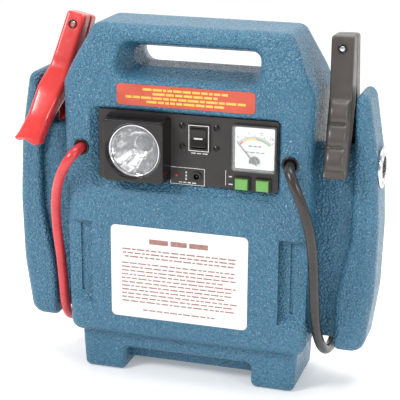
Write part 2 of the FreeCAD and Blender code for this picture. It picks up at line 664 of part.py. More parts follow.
def build_clamp(name):
    spec = CLAMPS[name]
    where = clamp_placement(name)
    grip = sleeve(spec)
    z = NOSE - 12
    y_face = -16.4
    seat = rod("y", (0, z), 3.6, -30, y_face)
    grip = grip.cut(seat)
    pieces = {
        "front_grip": grip,
        "rear_grip": facing_back(grip),
        "front_jaw": jaw(6.4, PIN_R + 0.05),
        "rear_jaw": facing_back(jaw(8.1, PIN_R)),
        "front_screw": pan_screw(y_face, z),
        "rear_screw": facing_back(pan_screw(y_face, z)),
        "pivot_pin": rod("x", (0, 0), PIN_R, -8.5, 8.5),
        "spring": torsion_spring(spec),
    }
    for piece, shape in pieces.items():
        PARTS[f"{name}_clamp_{piece}"] = shape.transformed(where.toMatrix())


# ---------------------------------------------------------------- leads
def lead_tail(name):
    """Last points of a lead, inside the rear grip of its clamp."""
    where = clamp_placement(name)
    spec = CLAMPS[name]
    slope = math.tan(math.radians(spec["spread"]))
    middle = 9.3 - inner_edge(spec, TAIL) - LEAD_R * math.hypot(1, slope)
    points = [where.multVec(V(0, middle + 16 * slope, TAIL - 16)),
              where.multVec(V(0, middle - 14 * slope, TAIL + 14))]
    return [tuple(round(c, 1) for c in p) for p in points]


BLACK_ROUTE = [(104, -42, 237), (104, -61, 237), (111.5, -71, 226), (120.5, -71, 205),
               (127, -66, 181), (130, -61, 155), (130.8, -56, 128), (130.8, -50, 102),
               (131, -43, 78), (132.2, -31, 56), (134.5, -14, 39), (136.5, 6, 34),
               (137.5, 25, 41), (138, 33, 60), (138.5, 34, 85), (140, 35, 113),
               (142.5, 38, 142), (144, 41, 171)]
RED_ROUTE = [(-104, -42, 237), (-104, -61, 237), (-110, -70, 229), (-120, -66, 213),
             (-129.5, -56, 194), (-135, -47, 171), (-137.5, -39, 145), (-136.5, -33.5, 116),
             (-135.5, -31, 88), (-135.5, -28, 64), (-136.5, -19, 47), (-137.5, -3, 38),
             (-138, 15, 39), (-138.5, 28, 52), (-138.5, 33, 74), (-138.5, 33.5, 101),
             (-139.5, 34, 125), (-143.5, 36.5, 149), (-150, 43, 168), (-157.5, 52, 187)]


def build_leads():
    grommet = tube("y", LEAD_HOLE, 7.5, LEAD_R, FRONT, FRONT + 4)
    grommet = grommet.fuse(tube("y", LEAD_HOLE, 8.4, LEAD_R, FRONT - 1.2, FRONT))
    PARTS["lead_grommets"] = Part.Compound([grommet, mirrored(grommet)])
    cord("red_lead", RED_ROUTE + lead_tail("red"), LEAD_R)
    cord("black_lead", BLACK_ROUTE + lead_tail("black"), LEAD_R)


def main():
    build_case()
    build_case_screws()
    build_battery()
    build_inner_wiring()
    build_panel()
    build_lamp()
    build_switch()
    build_meter()
    build_buttons()
    build_charging()
    build_socket()
    build_labels()
    for name in CLAMPS:
        build_clamp(name)
    build_leads()
    os.makedirs("parts", exist_ok=True)
    for name, shape in PARTS.items():
        if not shape.isValid():
            print(f"  {name} is not valid")
        shape.exportStep(f"parts/{name}.step")
    print(f"{len(PARTS)} pieces, clamps' leads end at {lead_tail('red')}, {lead_tail('black')}")


main()
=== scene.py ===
# %% [markdown]
# # A jump starter pack
# The pack is a battery in a wide plastic case that a person carries by a slot in its top. It has a lamp,
# a meter, a light switch and two buttons on its front, a 12 V outlet on its side, and two heavy leads that
# end in clamps. The frame that is loaded here already holds every part at its right size and place.
# Blender's work is the looks: the leads as real curves, the moulded clamp sleeves, the print on the
# labels, and every finish.

# %% Load the frame
import json
import math
import bmesh
import bpy
import numpy as np
from mathutils import Matrix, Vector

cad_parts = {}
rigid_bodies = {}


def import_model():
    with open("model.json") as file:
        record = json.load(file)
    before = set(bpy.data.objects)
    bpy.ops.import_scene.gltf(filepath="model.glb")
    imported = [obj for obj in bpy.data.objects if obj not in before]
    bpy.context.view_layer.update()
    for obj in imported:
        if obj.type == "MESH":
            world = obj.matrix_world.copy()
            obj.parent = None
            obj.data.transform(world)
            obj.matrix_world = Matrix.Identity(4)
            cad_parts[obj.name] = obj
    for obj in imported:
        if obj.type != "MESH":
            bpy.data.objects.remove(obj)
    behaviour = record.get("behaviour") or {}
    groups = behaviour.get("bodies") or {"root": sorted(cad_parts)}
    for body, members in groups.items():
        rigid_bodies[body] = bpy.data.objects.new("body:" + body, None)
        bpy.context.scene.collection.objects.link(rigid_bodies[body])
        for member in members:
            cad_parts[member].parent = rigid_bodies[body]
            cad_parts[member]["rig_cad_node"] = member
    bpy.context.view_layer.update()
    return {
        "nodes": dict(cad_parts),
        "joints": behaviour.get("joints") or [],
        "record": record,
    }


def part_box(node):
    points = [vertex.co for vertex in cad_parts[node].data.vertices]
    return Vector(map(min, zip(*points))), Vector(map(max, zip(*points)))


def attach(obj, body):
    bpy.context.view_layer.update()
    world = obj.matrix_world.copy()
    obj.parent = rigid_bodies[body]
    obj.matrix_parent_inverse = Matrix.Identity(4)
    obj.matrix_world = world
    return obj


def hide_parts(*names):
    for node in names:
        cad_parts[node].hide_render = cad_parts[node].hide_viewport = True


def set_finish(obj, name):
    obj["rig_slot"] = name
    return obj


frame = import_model()
nodes = frame["nodes"]

# %% [markdown]
# ## Camera
# The pack is seen from a little to its right and a little above, from over a metre away, so a long lens
# fits: a short one would make the near pod look too big. The camera's three axes are worked out from an
# azimuth, an elevation and a small roll, which are easier to judge than a rotation.

# %% Camera
AZIMUTH = math.radians(17.05)
ELEVATION = math.radians(17.45)
ROLL = math.radians(0.33)
DISTANCE = 1.326
LOOK_AT = np.array([0.0009, 0.0, 0.1775])


def camera_axes(azimuth, elevation, roll):
    """Columns right, up and back.

    Back points from the target to the camera, and roll turns the other two about it.
    """
    back = np.array([math.sin(azimuth) * math.cos(elevation),
                     -math.cos(azimuth) * math.cos(elevation), math.sin(elevation)])
    side = np.array([math.cos(azimuth), math.sin(azimuth), 0.0])
    up = np.cross(back, side)
    right = math.cos(roll) * side + math.sin(roll) * up
    top = math.cos(roll) * up - math.sin(roll) * side
    return np.stack([right, top, back], axis=1)


lens = bpy.data.cameras.new("camera")
lens.lens = 119.6
lens.sensor_width = 36.0
camera = bpy.data.objects.new("camera", lens)
bpy.context.scene.collection.objects.link(camera)
placement = np.eye(4)
placement[:3, :3] = camera_axes(AZIMUTH, ELEVATION, ROLL)
placement[:3, 3] = LOOK_AT + DISTANCE * placement[:3, 2]
camera.matrix_world = Matrix(placement.tolist())
bpy.context.scene.camera = camera
print("camera at", np.round(placement[:3, 3], 3))

# %% [markdown]
# ## Leads
# Each lead is a heavy rubber cable of fixed length. It leaves its hole in the case, drops down the recess
# beside the label, turns under the pod's web and comes up behind the pod into its clamp. A NURBS curve is
# the right tool, because a few listed points give one smooth line, and the bevel gives it its
# thickness. An order of 3 keeps the line close to its points.

# %% Leads
LEAD_DIAMETER = 0.010
LEAD_ROUTES = {
    "red": [(-0.104, -0.042, 0.237), (-0.104, -0.061, 0.237), (-0.110, -0.070, 0.229),
            (-0.120, -0.066, 0.213), (-0.1295, -0.056, 0.194), (-0.135, -0.047, 0.171),
            (-0.1375, -0.039, 0.145), (-0.1365, -0.0335, 0.116), (-0.1355, -0.031, 0.088),
            (-0.1355, -0.028, 0.064), (-0.1365, -0.019, 0.047), (-0.1375, -0.003, 0.038),
            (-0.138, 0.015, 0.039), (-0.1385, 0.028, 0.052), (-0.1385, 0.033, 0.074),
            (-0.1385, 0.0335, 0.101), (-0.1395, 0.034, 0.125), (-0.1435, 0.0365, 0.149),
            (-0.150, 0.043, 0.168), (-0.1575, 0.052, 0.187), (-0.1596, 0.0522, 0.2067),
            (-0.1526, 0.0371, 0.2391)],
    "black": [(0.104, -0.042, 0.237), (0.104, -0.061, 0.237), (0.1115, -0.071, 0.226),
              (0.1205, -0.071, 0.205), (0.127, -0.066, 0.181), (0.130, -0.061, 0.155),
              (0.1308, -0.056, 0.128), (0.1308, -0.050, 0.102), (0.131, -0.043, 0.078),
              (0.1322, -0.031, 0.056), (0.1345, -0.014, 0.039), (0.1365, 0.006, 0.034),
              (0.1375, 0.025, 0.041), (0.138, 0.033, 0.060), (0.1385, 0.034, 0.085),
              (0.140, 0.035, 0.113), (0.1425, 0.038, 0.142), (0.144, 0.041, 0.171),
              (0.1456, 0.0385, 0.2068), (0.1448, 0.0268, 0.2375)],
}


def lead(colour, route):
    """Round cable on one open NURBS spline whose control points are the route.

    The points carry the cable's radius and the bevel is 1, so that the curve's box is the cable's own.
    """
    curve = bpy.data.curves.new(colour + "_lead_cable", "CURVE")
    curve.dimensions = "3D"
    spline = curve.splines.new("NURBS")
    spline.points.add(len(route) - 1)
    spline.points.foreach_set("co", np.c_[np.array(route), np.ones(len(route))].ravel())
    spline.points.foreach_set("radius", np.full(len(route), LEAD_DIAMETER / 2))
    spline.order_u = 3
    spline.use_endpoint_u = True
    spline.resolution_u = 10
    curve.bevel_depth = 1.0
    curve.bevel_resolution = 6
    curve.use_fill_caps = True
    cable = bpy.data.objects.new(colour + "_lead_cable", curve)
    bpy.context.scene.collection.objects.link(cable)
    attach(cable, "case")
    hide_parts(colour + "_lead")
    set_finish(cable, "lead_" + colour)
    return cable


leads = {colour: lead(colour, route) for colour, route in LEAD_ROUTES.items()}
print("leads:", {c: len(LEAD_ROUTES[c]) for c in leads}, "control points")

# %% [markdown]
# ## Mesh helpers
# Every new piece is a surface worked out with numpy: a grid of points is computed as whole arrays, and the
# quads between them are computed the same way. A few helpers do that, so the pieces themselves are only
# their formulas.

# %% Mesh helpers
def grid_faces(rows, columns, wrap_rows=False, wrap_columns=False):
    """Quads of a grid of points stored row by row; a wrapped side is joined to its start."""
    i = np.arange(rows if wrap_rows else rows - 1)[:, None]
    j = np.arange(columns if wrap_columns else columns - 1)[None, :]
    i2, j2 = (i + 1) % rows, (j + 1) % columns
    quads = [i * columns + j, i2 * columns + j, i2 * columns + j2, i * columns + j2]
    return np.stack(np.broadcast_arrays(*quads), axis=-1).reshape(-1, 4)


def piece(name, points, faces, body, slot, smooth=True, merge=0.0):
    """New object from arrays of points and quads, riding on a body, with its finish slot named."""
    mesh = bpy.data.meshes.new(name)
    mesh.from_pydata(np.asarray(points, float).reshape(-1, 3).tolist(), [],
                     np.asarray(faces).tolist())
    if merge:
        merge_points(mesh, merge)
    mesh.polygons.foreach_set("use_smooth", np.full(len(mesh.polygons), smooth))
    mesh.update()
    made = bpy.data.objects.new(name, mesh)
    bpy.context.scene.collection.objects.link(made)
    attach(made, body)
    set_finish(made, slot)
    return made


def merge_points(mesh, distance):
    """Closes seams and poles: points nearer than distance become one."""
    work = bmesh.new()
    work.from_mesh(mesh)
    bmesh.ops.remove_doubles(work, verts=work.verts, dist=distance)
    bmesh.ops.dissolve_degenerate(work, dist=distance, edges=work.edges)
    work.to_mesh(mesh)
    work.free()


def outward(points, faces):
    """The same quads, turned round if the volume they close is negative."""
    p = np.asarray(points, float).reshape(-1, 3)
    a, b, c, d = (p[faces[:, k]] for k in range(4))
    volume = (np.einsum("ij,ij->i", a, np.cross(b, c)).sum()
              + np.einsum("ij,ij->i", a, np.cross(c, d)).sum())
    return faces if volume > 0 else faces[:, ::-1]


def lathe(name, profile, centre, body, slot, axis="y", around=96, flutes=0, depth=0.0):
    """Closed profile of (radius, place along the axis) turned about the axis.

    A point is centre + radius * (cos t, sin t) across the axis, and flutes ripple the radius by a factor
    of 1 + depth * cos(flutes * t).
    """
    profile = np.asarray(profile, float)
    t = np.linspace(0, 2 * math.pi, around, endpoint=False)
    radius = profile[:, :1] * (1 + depth * np.cos(flutes * t)[None, :])
    along = np.repeat(profile[:, 1:], around, axis=1)
    first, second = radius * np.cos(t), radius * np.sin(t)
    if axis == "y":
        points = np.stack([centre[0] + first, along, centre[1] + second], axis=-1)
    else:
        points = np.stack([along, centre[0] + first, centre[1] + second], axis=-1)
    faces = outward(points, grid_faces(len(profile), around, True, True))
    return piece(name, points, faces, body, slot, merge=1e-7)


print("helpers ready")

# %% [markdown]
# ## Clamp sleeves
# Each clamp has two long moulded sleeves. A sleeve is a channel: flat in front with rounded corners, open
# behind, and closed at its nose. So it is one U-shaped section carried up the clamp, whose width and depth
# change with height. The red clamp's sleeve swells towards a flared mouth. The black one has three finger
# rolls across its front. The clamps are parked at their own tilt, so the sleeves are worked out upright and
# then turned about the pivot, which the frame's joints give.

# %% Where the clamps are parked
PARKED = {   # degrees: lean, tilt back, twist, how far each sleeve stands open; metres: depth at the pivot
    "red": {"lean": 12.8, "tilt": -10.0, "twist": -1.0, "open": 34.5, "depth": 0.0255},
    "black": {"lean": -1.5, "tilt": -3.0, "twist": 0.0, "open": 24.0, "depth": 0.0205},
}
NOSE_DEPTH = 0.0155
NOSE, TAIL = 0.056, -0.072   # heights of the two ends above the pivot
joints = {joint["name"]: joint for joint in frame["joints"]}


def turn(axis, degrees):
    """Rotation matrix about a coordinate axis by the right-hand rule."""
    c, s = math.cos(math.radians(degrees)), math.sin(math.radians(degrees))
    i, j = {"x": (1, 2), "y": (2, 0), "z": (0, 1)}[axis]
    matrix = np.eye(3)
    matrix[i, i] = matrix[j, j] = c
    matrix[i, j], matrix[j, i] = -s, s
    return matrix


def parked(colour, points):
    """Points of an upright clamp, moved to where that clamp is parked."""
    spec = PARKED[colour]
    matrix = turn("y", spec["lean"]) @ turn("x", spec["tilt"]) @ turn("z", spec["twist"])
    pivot = np.array(joints[colour + "_clamp_squeeze"]["pos_m"])
    return np.asarray(points) @ matrix.T + pivot


# %% Sleeve sections
SLEEVE_WALL = 0.0016
MID_GAP = 0.0006          # above the pivot, the back edge is this far off the plane between the sleeves
TAIL_DEPTH = 0.012        # depth of the channel at its tail
NOSE_ROUND = 0.003        # radius of the rounding at the nose
BELLY_BLEND = 0.024       # height over which the upper slope of the front turns into the lower one
SCREW_HEIGHT = NOSE - 0.012
ROLL_HEIGHTS = np.array([-0.0555, -0.0345, -0.0135])
ROLL_REACH, ROLL_HEIGHT = 0.0104, 0.0060


def u_section():
    """The U as rows of (k, c, t, s), for a half width, a corner radius r, a front and a back.

    x = k * (half - r) + c * r, and y = back + t * (front + r - back) + s * r.
    """
    flank = np.linspace(0, 1, 7)
    corner = np.linspace(0, math.pi / 2, 8)[1:]
    face = np.linspace(-1, 1, 15)[1:-1]
    left = np.c_[-np.ones(7), -np.ones(7), flank, np.zeros(7)]
    left_arc = np.c_[-np.ones(7), -np.cos(corner), np.ones(7), -np.sin(corner)]
    front = np.c_[face, 0 * face, np.ones(13), -np.ones(13)]
    right_arc = np.c_[np.ones(7), np.cos(corner), np.ones(7), -np.sin(corner)][::-1]
    right = np.c_[np.ones(7), np.ones(7), flank, np.zeros(7)][::-1]
    return np.concatenate([left, left_arc, front, right_arc, right])


def upper_front(spec, z):
    """y of the front sleeve's face above the pivot, a straight line from its depth there to the nose's."""
    return -spec["depth"] + (spec["depth"] - NOSE_DEPTH) * z / NOSE


def smooth_step(x):
    """0 below 0, 1 above 1, and 3x^2 - 2x^3 between."""
    x = np.clip(x, 0, 1)
    return x * x * (3 - 2 * x)


def sleeve(colour, half):
    """One moulded sleeve: half is -1 for the front sleeve and +1 for the one behind."""
    spec = PARKED[colour]
    z = np.concatenate([np.linspace(TAIL, NOSE - NOSE_ROUND, 110),
                        NOSE - NOSE_ROUND + NOSE_ROUND * np.sin(np.linspace(0, math.pi / 2, 7)[1:])])
    into_nose = np.clip(z - NOSE + NOSE_ROUND, 0, NOSE_ROUND)
    rounding = NOSE_ROUND - np.sqrt(np.clip(NOSE_ROUND ** 2 - into_nose ** 2, 0, None))
    slope = math.tan(math.radians(spec["open"]))
    back = np.where(z > 0, -MID_GAP, -MID_GAP + z * slope)
    tail_front = -0.0012 + TAIL * slope - TAIL_DEPTH
    # the front runs straight down from the nose, turns at the pivot and runs straight on to the tail
    upper = upper_front(spec, z)
    lower = -spec["depth"] + (tail_front + spec["depth"]) * z / TAIL
    blend = smooth_step((z + BELLY_BLEND / 2) / BELLY_BLEND)
    front = blend * upper + (1 - blend) * lower
    towards_tail = smooth_step((0.03 - z) / 0.09)
    if colour == "red":
        nose_half = 0.0101 if half < 0 else 0.0106
        # a belly a little below the pivot, and a slight waist above the flared mouth
        belly = 0.0014 * np.exp(-((z + 0.020) / 0.013) ** 2)
        waist = 0.0007 * np.exp(-((z + 0.050) / 0.010) ** 2)
        swell = belly - waist
        width = nose_half + (0.0120 - nose_half) * towards_tail + swell
        front = front - 1.5 * swell
        flare = np.exp(-(z - TAIL) / 0.0030)
        width = width + 0.0016 * flare
        front = front - 0.0012 * flare
        corner = np.full_like(z, 0.0034) + 0.0016 * towards_tail
    else:
        width = np.full_like(z, 0.0108)
        flare = np.exp(-(z - TAIL) / 0.0025)
        front = front - 0.0010 * flare
        corner = np.full_like(z, 0.0018)
    section = u_section()
    k, c, t, s = (section[:, n][None, :] for n in range(4))
    width, corner = (width - 0.8 * rounding)[:, None], corner[:, None]
    front, back = (front + rounding)[:, None], back[:, None]
    x = k * (width - corner) + c * corner
    y = back + t * (front + corner - back) + s * corner
    if colour == "black":
        # the rolls fade out where the face rounds off into the flanks
        on_face = (t == 1) * np.clip(1 - np.abs(x / 0.0098) ** 10, 0, 1)
        y = y - finger_rolls(z)[:, None] * on_face
    else:
        # the face is slightly crowned towards the tail
        y = y - 0.0008 * towards_tail[:, None] * (t == 1) * np.clip(1 - (x / width) ** 2, 0, 1)
    z = np.repeat(z[:, None], x.shape[1], axis=1)
    if colour == "red":
        # a scalloped edge at the mouth, which dies away over about a centimetre
        z = z + 0.0013 * np.cos(4.5 * x / width) * np.exp(-(z - TAIL) / 0.006)
    # the nose is closed by drawing its last section in to its middle line
    cap = np.stack([0 * x[-1], y[-1], z[-1]], axis=-1)
    points = np.concatenate([np.stack([x, y, z], axis=-1), cap[None]])
    faces = grid_faces(points.shape[0], points.shape[1])[:, ::-1]
    if half > 0:
        points = points * np.array([1, -1, 1])
        faces = faces[:, ::-1]
    side = "front" if half < 0 else "rear"
    body = colour + "_clamp_front" if half < 0 else "case"
    made = piece(f"{colour}_{side}_sleeve", parked(colour, points), faces, body,
                 colour + "_plastic", merge=2e-5)
    wall = made.modifiers.new("wall", "SOLIDIFY")
    wall.thickness = SLEEVE_WALL
    wall.offset = -1
    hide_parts(f"{colour}_clamp_{side}_grip")
    return made


def finger_rolls(z):
    """Height of three rolls across the black sleeve: each is a half ellipse in z, and flat between them."""
    reach = (z[:, None] - ROLL_HEIGHTS[None, :]) / ROLL_REACH
    return ROLL_HEIGHT * np.sqrt(np.clip(1 - reach ** 2, 0, 1)).sum(axis=1)


sleeves = [sleeve(colour, half) for colour in PARKED for half in (-1, 1)]
print("sleeves:", [s.name for s in sleeves])

# %% [markdown]
# ## Screw seats
# The nose screw of each clamp sits in a dark round seat, which shows as a ring about its head. It is a thin
# turned ring, laid against the sleeve's front.

# %% Screw seats
SEAT_RADIUS, SEAT_HALF_WIDTH, SEAT_STANDS_OFF = 0.0037, 0.0008, 0.0005


def screw_seat(colour, half):
    """Flat ring of rounded section about the screw's axis, which runs along the upright clamp's y."""
    t = np.linspace(0, 2 * math.pi, 48, endpoint=False)
    around = np.linspace(0, 2 * math.pi, 8, endpoint=False)
    radius = SEAT_RADIUS + SEAT_HALF_WIDTH * np.cos(around)[:, None]
    face = SEAT_STANDS_OFF - upper_front(PARKED[colour], SCREW_HEIGHT)
    height = face + 0.0006 * np.sin(around)[:, None] + 0 * t[None, :]
    points = np.stack([radius * np.cos(t), half * height, SCREW_HEIGHT + radius * np.sin(t)], axis=-1)
    placed = parked(colour, points.reshape(-1, 3))
    body = colour + "_clamp_front" if half < 0 else "case"
    side = "front" if half < 0 else "rear"
    faces = outward(placed - placed.mean(axis=0), grid_faces(8, 48, True, True))
    return piece(f"{colour}_{side}_screw_seat", placed, faces, body, "dark_plastic")


seats = [screw_seat(colour, half) for colour in PARKED for half in (-1, 1)]
print("screw seats:", len(seats))

# %% [markdown]
# ## Lamp
# Behind the clear lens is a silvered dish. It is a real paraboloid, so that it gathers light as a lamp's
# dish does, and shallow flutes run down it. The sweeping light and dark bands are a painted reflection
# in its colour, further down. The chrome ring about it is a half-round profile turned about the same axis.

# %% Lamp
lamp_low, lamp_high = (np.array(corner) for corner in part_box("lamp_ring"))
LAMP_AXIS = ((lamp_low[0] + lamp_high[0]) / 2, (lamp_low[2] + lamp_high[2]) / 2)
DISH_THROAT, DISH_SPREAD = 0.0062, 0.0180   # radius at the floor, and how much it grows to the rim
dish_low, dish_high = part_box("lamp_reflector")


def dish_profile(steps=40, wall=0.0008):
    """Paraboloid and back down its outside.

    The radius grows as the square root of the height above the dish's floor.
    """
    height = np.linspace(0, 1, steps)
    rim, floor = dish_low[1] + 0.0002, dish_high[1] - 0.0008
    radius = DISH_THROAT + DISH_SPREAD * np.sqrt(height)
    along = floor + (rim - floor) * height
    return np.concatenate([np.c_[radius, along], np.c_[radius + wall, along + 0.0002][::-1]])


dish = lathe("lamp_dish", dish_profile(), LAMP_AXIS, "case", "reflector", around=144, flutes=24,
             depth=0.003)
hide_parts("lamp_reflector")


def ring_profile(radius_in, radius_out, front, behind, roundness=10):
    """Half-round ring: an arc from the inner edge over the front to the outer edge, closed flat behind."""
    t = np.linspace(0, math.pi, roundness)
    middle, half = (radius_in + radius_out) / 2, (radius_out - radius_in) / 2
    return np.c_[middle - half * np.cos(t), behind - (behind - front) * np.sin(t)]


lamp_rim = lathe("lamp_rim", ring_profile(0.0236, 0.0264, lamp_low[1], lamp_high[1], 14), LAMP_AXIS, "case",
            "chrome", around=128)
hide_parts("lamp_ring")
print("lamp dish and rim made about", np.round(LAMP_AXIS, 4))

# %% [markdown]
# ## Outlet
# The outlet on the side has a bright pressed ring: a rolled outer edge, a shallow step and a turned-in lip
# that leads into the socket. One turned profile gives all three.

# %% Outlet ring
socket_low, socket_high = (np.array(corner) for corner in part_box("socket_ring"))
SOCKET_AXIS = (0.0, (socket_low[2] + socket_high[2]) / 2)
BORE, EDGE_RADIUS, EDGE_ROLL = 0.0112, 0.0192, 0.0014


def socket_profile():
    """Closed profile from the lip at the bore, over the step and the rolled edge, and back along the seat."""
    seat, face = socket_low[0], socket_high[0]
    t = np.linspace(math.pi / 2, -math.pi / 4, 7)
    roll = np.c_[EDGE_RADIUS + EDGE_ROLL * np.cos(t), face - EDGE_ROLL + EDGE_ROLL * np.sin(t)]
    lip = [(BORE, seat), (BORE, face - 0.0004), (0.0118, face), (0.0135, face - 0.0002)]
    step = [(0.0142, face - 0.0012), (0.0165, face - 0.0013), (0.0175, face - 0.0002)]
    return np.concatenate([lip, step, roll, [(0.0204, seat)]])


outlet = lathe("outlet_ring", socket_profile(), SOCKET_AXIS, "case", "chrome", axis="x", around=128)
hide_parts("socket_ring")
print("outlet ring made")

# %% [markdown]
# ## Lead grommets
# A soft ring lines each lead's hole. Its profile is a rolled bead that stands off the case and turns in
# towards the lead.

# %% Lead grommets
grommet_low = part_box("lead_grommets")[0]
LEAD_HOLE = (0.104, 0.237)   # x and z of the hole on the +X side


def grommet(side):
    """Bead about one lead hole, turned about the hole's axis."""
    t = np.linspace(0, 2 * math.pi, 20, endpoint=False)
    bead = np.c_[0.0067 + 0.0016 * np.cos(t), grommet_low[1] + 0.0018 + 0.0017 * np.sin(t)]
    centre = (side * LEAD_HOLE[0], LEAD_HOLE[1])
    return lathe("grommet_left" if side < 0 else "grommet_right", bead, centre, "case", "dark_plastic",
                 around=64)


grommets = [grommet(-1), grommet(1)]
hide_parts("lead_grommets")
print("grommets:", [g.name for g in grommets])

# %% [markdown]
# ## Print
# The labels, the panel and the meter's dial carry print. It is made as thin flat bars of ink standing a
# few hundredths of a millimetre proud, so that it stays sharp at any size. The words themselves are only
# bars of uneven length, which read as text from a distance and say nothing.

# %% Print helpers
def word_bars(left, right, height, size, seed, centred=False, longest=0.009):
    """Bars (x0, x1, z0, z1) of one line: word lengths are drawn at random and laid end to end with gaps."""
    draw = np.random.default_rng(seed)
    lengths = draw.uniform(0.0028, longest, 60)
    ends = left + np.cumsum(lengths + 0.0013) - 0.0013
    keep = ends <= right
    ends, lengths = ends[keep], lengths[keep]
    shift = (right - ends[-1]) / 2 if centred else 0.0
    low = np.full_like(ends, height - size / 2)
    return np.c_[ends - lengths + shift, ends + shift, low, low + size]


def line_frame(x0, x1, z0, z1, width):
    """Four bars that outline a rectangle."""
    return np.array([(x0, x1, z0, z0 + width), (x0, x1, z1 - width, z1),
                     (x0, x0 + width, z0 + width, z1 - width), (x1 - width, x1, z0 + width, z1 - width)])


def print_bars(name, bars, front, slot, thickness=0.00006, body="case"):
    """Every bar as one flat quad facing the front, a hair proud of the surface at y = front."""
    bars = np.asarray(bars, float)
    x = bars[:, [0, 1, 1, 0]]
    z = bars[:, [2, 2, 3, 3]]
    points = np.stack([x, np.full_like(x, front - thickness), z], axis=-1)
    faces = np.arange(4 * len(bars)).reshape(-1, 4)
    made = piece(name, points, faces, body, slot, smooth=False)
    ink = made.modifiers.new("ink", "SOLIDIFY")
    ink.thickness = thickness
    ink.offset = -1
    return made


print("print helpers ready")

# %% Front label
label_low, label_high = (np.array(corner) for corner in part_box("front_label"))
label_mid = (label_low[0] + label_high[0]) / 2


def label_text():
    """Three centred lines under the heading, then a block of lines set flush left."""
    rows = [word_bars(label_low[0] + 0.010, label_high[0] - 0.010, label_high[2] - drop, 0.0015, 10 + n, True)
            for n, drop in enumerate((0.0240, 0.0278, 0.0316))]
    rows += [word_bars(label_low[0] + 0.011, label_high[0] - 0.009 - 0.012 * (n % 4 == 3),
                       label_high[2] - 0.0385 - 0.0040 * n, 0.0014, 40 + n) for n in range(11)]
    rows.append(word_bars(label_low[0] + 0.030, label_high[0] - 0.030, label_low[2] + 0.0085, 0.0014, 90,
                          True))
    return np.concatenate(rows)


heading = np.array([(label_mid - 0.0300, label_mid - 0.0105, 0, 0.0052),
                    (label_mid - 0.0080, label_mid + 0.0085, 0, 0.0052),
                    (label_mid + 0.0110, label_mid + 0.0300, 0, 0.0052)])
heading[:, 2:] += label_high[2] - 0.0170
label_print = print_bars("label_print", label_text(), label_low[1], "label_ink")
print_bars("label_heading", heading, label_low[1], "label_ink")
print("label print:", len(label_print.data.polygons), "bars")

# %% Warning sticker
sticker_low, sticker_high = (np.array(corner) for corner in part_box("charge_sticker"))
sticker_rows = [(0.024, 0.0162), (0.036, 0.0122), (0.007, 0.0082), (0.026, 0.0043)]
sticker_bars = np.concatenate([
    word_bars(sticker_low[0] + inset, sticker_high[0] - inset, sticker_low[2] + height, 0.0021, 200 + n, True,
              0.012) for n, (inset, height) in enumerate(sticker_rows)])
print_bars("sticker_print", sticker_bars, sticker_low[1], "sticker_ink")
print("sticker print:", len(sticker_bars), "bars")

# %% Panel print, and the painted highlight on the rocker
COLLAR_HEIGHT = 0.0022   # the collars about the buttons stand this far off the panel's face
panel_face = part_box("control_panel")[0][1] + COLLAR_HEIGHT
bezel_low, bezel_high = (np.array(corner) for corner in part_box("switch_bezel"))
jack_low, jack_high = (np.array(corner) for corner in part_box("charge_jack"))
led_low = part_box("charge_led")[0]
charge_box = (led_low[0] - 0.0045, jack_high[0] + 0.0030, jack_low[2] - 0.0040, jack_high[2] + 0.0030)
panel_bars = np.concatenate([
    line_frame(*charge_box, 0.0005),
    word_bars(charge_box[0] + 0.006, charge_box[1] - 0.006, charge_box[2] + 0.0022, 0.0010, 301, True, 0.004),
    word_bars(bezel_low[0] + 0.002, bezel_high[0] - 0.002, bezel_low[2] - 0.0022, 0.0010, 302, True, 0.005),
    np.array([(0.0010, 0.0026, z, z + 0.0011) for z in (0.2125, 0.2160, 0.2195)]),   # three marks
    np.array([(0.0016, 0.0020, z, z + 0.0024) for z in (0.2136, 0.2171)]),           # joined by two lines
    np.array([(0.0408, 0.0413, 0.2105, 0.2255)]),                                    # rule by the buttons
    word_bars(0.0440, 0.0500, 0.2195, 0.0011, 303, False, 0.005),
    word_bars(0.0440, 0.0500, 0.2120, 0.0011, 304, False, 0.005),
])
print_bars("panel_print", panel_bars, panel_face, "white_ink")
print_bars("switch_frame", line_frame(bezel_low[0] + 0.0004, bezel_high[0] - 0.0004,
                                      bezel_low[2] + 0.0004, bezel_high[2] - 0.0004, 0.0007),
           bezel_low[1], "white_ink")
rocker_low, rocker_high = (np.array(corner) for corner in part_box("light_rocker"))
rocker_mid = (rocker_low + rocker_high) / 2
# a white bar along the rocker's crest, in white ink: a painted highlight on its ridge
print_bars("rocker_mark", [(rocker_mid[0] - 0.0042, rocker_mid[0] + 0.0042,
                            rocker_mid[2] - 0.0008, rocker_mid[2] + 0.0006)],
           rocker_low[1] + 0.0012, "white_ink", 0.0006, "light_switch")
print("panel print:", len(panel_bars), "bars")

# %% [markdown]
# ## Meter dial
# The dial's scale is a set of arcs about the needle's axis. An arc is a narrow grid in polar
# coordinates: radius one way and angle the other. The ticks are short arcs of a small angle, so one
# formula makes the whole scale.

# %% Meter dial
dial_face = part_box("meter_dial")[0][1]
NEEDLE_AXIS = np.array(joints["needle_swing"]["pos_m"])


def arcs(name, spans, slot, steps=24, thickness=0.00006):
    """Flat arcs facing the front: each span is (inner radius, outer radius, first angle, last angle).

    Angles are in degrees clockwise from straight up, about the needle's axis.
    """
    spans = np.asarray(spans, float)
    angle = np.radians(spans[:, 2:3] + (spans[:, 3:4] - spans[:, 2:3]) * np.linspace(0, 1, steps)[None, :])
    inner, outer = spans[:, 0:1], spans[:, 1:2]
    rows = [np.stack([NEEDLE_AXIS[0] + radius * np.sin(angle), np.full_like(angle, dial_face - thickness),
                      NEEDLE_AXIS[2] + radius * np.cos(angle)], axis=-1) for radius in (inner, outer)]
    points = np.stack(rows, axis=1)
    one = grid_faces(2, steps)[:, ::-1]
    faces = (one[None] + 2 * steps * np.arange(len(spans))[:, None, None]).reshape(-1, 4)
    made = piece(name, points, faces, "case", slot, smooth=False)
    ink = made.modifiers.new("ink", "SOLIDIFY")
    ink.thickness = thickness
    ink.offset = -1
    return made


